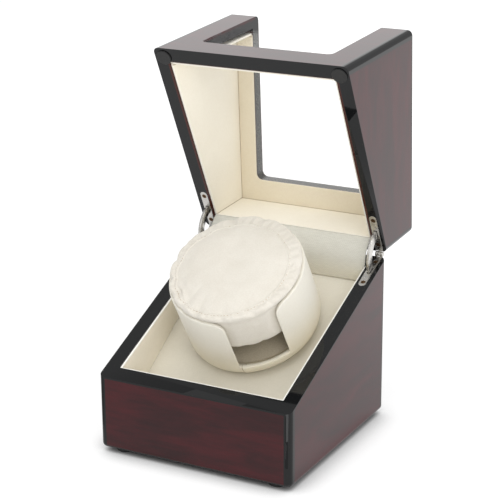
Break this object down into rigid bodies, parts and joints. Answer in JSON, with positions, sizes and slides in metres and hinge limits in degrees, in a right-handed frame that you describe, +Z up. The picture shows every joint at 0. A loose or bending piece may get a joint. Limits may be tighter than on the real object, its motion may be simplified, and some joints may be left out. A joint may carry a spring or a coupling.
{
  "type": "watch winder",
  "caption": "Single watch winder: lacquered case with a sloping rim, windowed lid on stayed hinges, and a leaning belt-driven drum that holds a lift-out watch cushion.",
  "frame": {"origin": "on the table under the middle of the whole winder with its lid open", "axes": "+Z up, the case's front faces -Y, +X to the viewer's right"},
  "size_m": [0.1264, 0.1723, 0.236],
  "materials": {
    "veneer": "mahogany-coloured veneer under clear gloss lacquer, black lacquered edges",
    "board": "plain fibreboard, unfinished",
    "leatherette": "cream artificial leather with a fine grain, glued on thin board",
    "panel_cloth": "cream artificial leather, matt, in the shade of the drum",
    "pane": "clear bent acrylic, polished",
    "woven_tape": "grey-beige plain weave",
    "drum_cover": "ivory artificial leather stretched over the moulded cup",
    "pillow_cover": "soft cream suede cloth over padding, sewn ring near the rim",
    "nickel": "bright nickel plate",
    "brass_screw": "brass-coloured screw heads",
    "steel": "bright zinc plate",
    "rubber": "black rubber",
    "black_plastic": "fine textured black moulding",
    "white_plastic": "natural white acetal",
    "circuit": "green solder mask",
    "lead_cover": "PVC insulation"
  },
  "bodies": {
    "base": {"base_front_panel": "veneer", "base_left_panel": "veneer", "base_right_panel": "veneer", "base_back_panel": "veneer", "bottom_board": "board", "board_battens": "board", "panel_battens": "board", "bottom_screws": "steel", "rubber_feet": "rubber", "base_front_lining": "leatherette", "base_back_lining": "leatherette", "base_left_lining": "leatherette", "base_right_lining": "leatherette", "hinge_strip": "woven_tape", "rotor_panel": "panel_cloth", "drive_chassis": "black_plastic", "chassis_screws": "steel", "shaft_bush": "white_plastic", "gear_motor": "steel", "motor_screws": "steel", "motor_leads": "lead_cover", "drive_belt": "rubber", "control_board": "circuit", "board_screws": "steel", "mode_switch": "black_plastic", "power_inlet": "black_plastic", "rear_plate": "black_plastic", "rear_plate_screws": "steel", "hinge_leaf_base_left": "nickel", "hinge_leaf_base_right": "nickel", "hinge_screws_base": "brass_screw", "hinge_pins": "nickel"},
    "lid": {"lid_front_panel": "veneer", "lid_left_panel": "veneer", "lid_right_panel": "veneer", "lid_back_panel": "veneer", "lid_top_panel": "veneer", "window_pane": "pane", "lid_top_lining": "leatherette", "lid_front_lining": "leatherette", "lid_back_lining": "leatherette", "lid_left_lining": "leatherette", "lid_right_lining": "leatherette", "bumper_pads": "rubber", "hinge_leaf_lid_left": "nickel", "hinge_leaf_lid_right": "nickel", "hinge_screws_lid": "brass_screw"},
    "stay_left": {"stay_arm_left": "nickel"},
    "stay_right": {"stay_arm_right": "nickel"},
    "rotor": {"drum_cup": "drum_cover", "drum_floor_pad": "leatherette", "drum_hub": "white_plastic", "hub_screws": "steel", "rotor_shaft": "steel", "driven_pulley": "white_plastic", "shaft_clip": "steel"},
    "motor_rotor": {"motor_pulley": "white_plastic", "motor_shaft": "steel"},
    "cushion": {"watch_cushion": "pillow_cover"},
    "knob": {"mode_knob": "black_plastic"}
  },
  "joints": [
    {"name": "lid_hinge", "type": "hinge", "parent": "base", "child": "lid", "pos_m": [0, 0.04477, 0.10318], "axis": [1, 0, 0], "range_deg": [0, 86.9], "deforming": ["hinge_strip"]},
    {"name": "stay_left", "type": "hinge", "parent": "base", "child": "stay_left", "pos_m": [-0.0582, 0.04477, 0.10318], "axis": [1, 0, 0], "range_deg": [0, 22]},
    {"name": "stay_right", "type": "hinge", "parent": "base", "child": "stay_right", "pos_m": [0.0582, 0.04477, 0.10318], "axis": [1, 0, 0], "range_deg": [0, 22]},
    {"name": "rotor_spin", "type": "hinge", "parent": "base", "child": "rotor", "pos_m": [0, -0.00505, 0.0637], "axis": [0, -0.5299, 0.848], "continuous": true},
    {"name": "motor_spin", "type": "hinge", "parent": "base", "child": "motor_rotor", "pos_m": [-0.03, -0.00505, 0.0637], "axis": [0, -0.5299, 0.848], "continuous": true},
    {"name": "cushion_lift", "type": "slide", "parent": "rotor", "child": "cushion", "axis": [0, -0.5299, 0.848], "range_m": [0, 0.0045]},
    {"name": "mode_knob_turn", "type": "hinge", "parent": "base", "child": "knob", "pos_m": [0.029, 0.04525, 0.0305], "axis": [0, 1, 0], "range_deg": [0, 270]}
  ],
  "couplings": [
    {"joint": "stay_left", "follows": "lid_hinge", "ratio": 0.25},
    {"joint": "stay_right", "follows": "lid_hinge", "ratio": 0.25},
    {"joint": "motor_spin", "follows": "rotor_spin", "ratio": 3.4}
  ]
}
